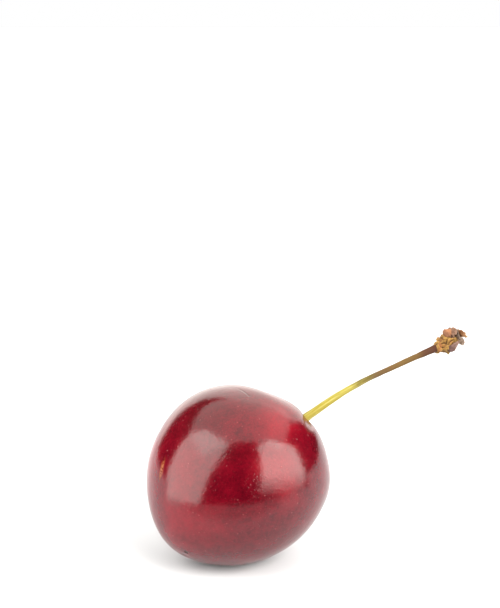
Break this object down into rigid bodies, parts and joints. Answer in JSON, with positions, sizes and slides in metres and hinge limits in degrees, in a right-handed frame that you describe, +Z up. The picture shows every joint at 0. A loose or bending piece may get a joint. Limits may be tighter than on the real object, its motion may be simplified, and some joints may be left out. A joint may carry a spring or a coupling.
{
  "type": "cherry",
  "caption": "Ripe sweet cherry lying on its cheek, heart-shaped fruit with a curved tapering stem that ends in torn spur wood and dried bud scales.",
  "frame": {"origin": "centre of the small flat spot on the fruit's cheek that it rests on, on the surface it lies on", "axes": "+Z up from the surface; the stem points toward +X and +Y and a little up; millimetre-scale part in metres"},
  "size_m": [0.0478, 0.036, 0.0276],
  "materials": {
    "skin": "glossy deep crimson fruit skin",
    "stem_skin": "satin yellow-green to brown stem",
    "spur_wood": "dry ochre torn wood",
    "dry_scale": "matte papery brown bud scale"
  },
  "bodies": {
    "root": {"cherry_fruit": "skin", "stem": "stem_skin", "spur_knob": "spur_wood", "bud_scale_1": "dry_scale", "bud_scale_2": "dry_scale", "bud_scale_3": "dry_scale", "bud_scale_4": "dry_scale", "bud_scale_5": "dry_scale", "bud_scale_6": "dry_scale"}
  },
  "joints": []
}
